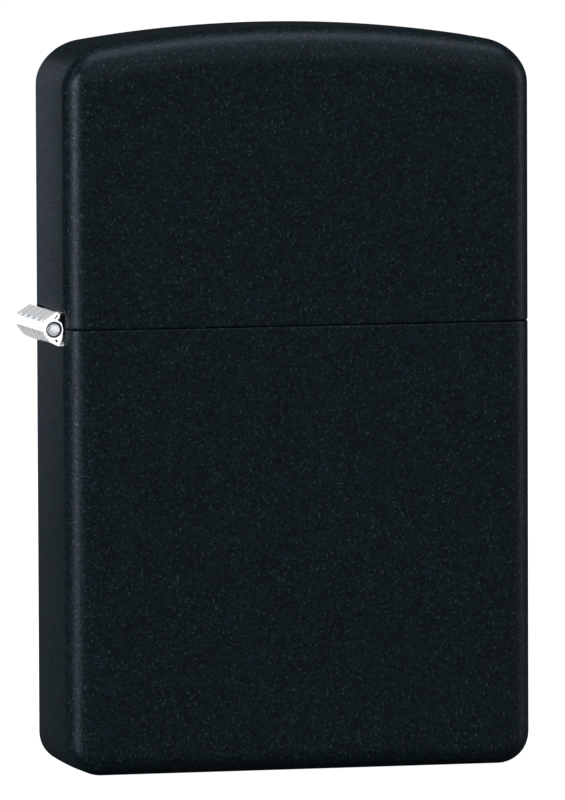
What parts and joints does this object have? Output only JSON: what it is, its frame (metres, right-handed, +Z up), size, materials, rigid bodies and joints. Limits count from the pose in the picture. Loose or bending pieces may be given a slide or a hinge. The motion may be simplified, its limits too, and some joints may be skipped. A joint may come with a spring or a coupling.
{
  "type": "windproof flip-top lighter",
  "caption": "Closed flip-top petrol lighter: matt black drawn case with a side-hinged lid, holding a fuel insert with chimney, wick, flint wheel, cam and spring.",
  "frame": {"origin": "centre of the case's flat bottom, midway between the side planes and the front and back faces", "axes": "+Z up, -X towards the hinge, -Y towards the front face"},
  "size_m": [0.0384, 0.0126, 0.0571],
  "materials": {
    "case_paint": "matt, fine textured powder coat",
    "hinge_chrome": "bright",
    "steel_pin": "satin",
    "insert_steel": "brushed",
    "cam_steel": "tumbled",
    "spring_steel": "satin",
    "wheel_steel": "hardened, dark",
    "brass": "satin",
    "flint_alloy": "dull",
    "wick_cotton": "braided cotton with fine copper strands",
    "felt": "pressed felt",
    "packing_cotton": "loose cotton"
  },
  "bodies": {
    "root": {"case_body": "case_paint", "body_hinge_leaf": "hinge_chrome", "hinge_pin": "steel_pin", "insert_shell": "insert_steel", "insert_plate": "insert_steel", "cam_rivet": "steel_pin", "cam_spring": "spring_steel", "spring_rivet": "steel_pin", "wheel_rivet": "steel_pin", "flint_tube": "brass", "flint_spring": "spring_steel", "flint_screw": "brass", "wick": "wick_cotton", "felt_pad": "felt", "cotton_1": "packing_cotton", "cotton_2": "packing_cotton", "cotton_3": "packing_cotton", "cotton_4": "packing_cotton", "cotton_5": "packing_cotton"},
    "lid": {"case_lid": "case_paint", "lid_hinge_leaf": "hinge_chrome"},
    "cam_lever": {"cam": "cam_steel"},
    "wheel": {"flint_wheel": "wheel_steel"},
    "flint_stack": {"flint": "flint_alloy", "plunger_tip": "brass"}
  },
  "joints": [
    {"name": "lid_hinge", "type": "hinge", "parent": "root", "child": "lid", "pos_m": [-0.0191, 0, 0.03425], "axis": [0, -1, 0], "range_deg": [0, 125]},
    {"name": "cam_pivot", "type": "hinge", "parent": "root", "child": "cam_lever", "pos_m": [-0.0109, 0, 0.03815], "axis": [0, -1, 0], "range_deg": [-12.5, 0]},
    {"name": "wheel_spin", "type": "hinge", "parent": "root", "child": "wheel", "pos_m": [0.0116, 0, 0.04495], "axis": [0, 1, 0], "continuous": true},
    {"name": "flint_slide", "type": "slide", "parent": "root", "child": "flint_stack", "axis": [0, 0, 1], "range_m": [-0.0015, 0], "stiffness_N_per_m": 300, "deforming": ["flint_spring"]}
  ],
  "couplings": [
    {"joint": "cam_pivot", "follows": "lid_hinge", "ratio": -0.1}
  ]
}
